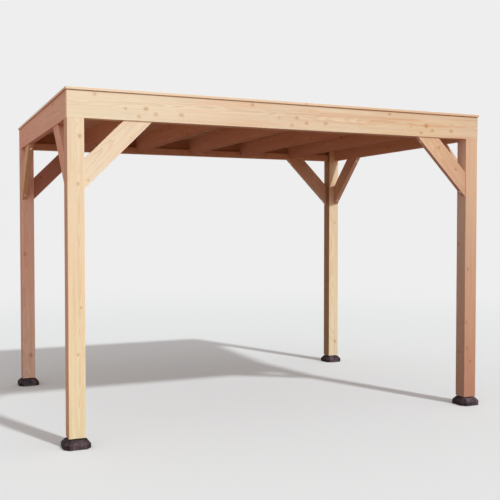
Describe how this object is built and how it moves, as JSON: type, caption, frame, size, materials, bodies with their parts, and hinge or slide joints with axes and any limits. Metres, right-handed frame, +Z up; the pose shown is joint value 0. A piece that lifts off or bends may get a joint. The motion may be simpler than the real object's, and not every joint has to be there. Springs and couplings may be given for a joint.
{
  "type": "wooden patio cover",
  "caption": "Free-standing timber patio cover with a flat boarded roof: square posts on low feet carry edge beams with knee braces, and joists rest on ledger strips.",
  "frame": {"origin": "on the ground, under the middle of the roof", "axes": "+X along the wide front to its right-hand end, +Y from front to back, +Z up"},
  "size_m": [3.61, 2.6, 2.531],
  "materials": {
    "timber": "planed, untreated softwood, matt",
    "roof_boards": "planed softwood boards, matt",
    "membrane": "matt black sheet",
    "foot_concrete": "cast concrete, dark grey, fine texture",
    "plate_steel": "black powder coat"
  },
  "bodies": {
    "root": {"back_beam": "timber", "back_ledger": "timber", "back_left_back_brace": "timber", "back_left_foot": "foot_concrete", "back_left_post": "timber", "back_left_post_plate": "plate_steel", "back_left_side_brace": "timber", "back_right_back_brace": "timber", "back_right_foot": "foot_concrete", "back_right_post": "timber", "back_right_post_plate": "plate_steel", "back_right_side_brace": "timber", "back_trim": "timber", "front_beam": "timber", "front_ledger": "timber", "front_left_foot": "foot_concrete", "front_left_front_brace": "timber", "front_left_post": "timber", "front_left_post_plate": "plate_steel", "front_left_side_brace": "timber", "front_right_foot": "foot_concrete", "front_right_front_brace": "timber", "front_right_post": "timber", "front_right_post_plate": "plate_steel", "front_right_side_brace": "timber", "front_trim": "timber", "joist_1": "timber", "joist_2": "timber", "joist_3": "timber", "joist_4": "timber", "joist_5": "timber", "left_batten": "timber", "left_beam": "timber", "left_trim": "timber", "right_batten": "timber", "right_beam": "timber", "right_trim": "timber", "roof_deck": "roof_boards", "roof_membrane": "membrane"}
  },
  "joints": []
}
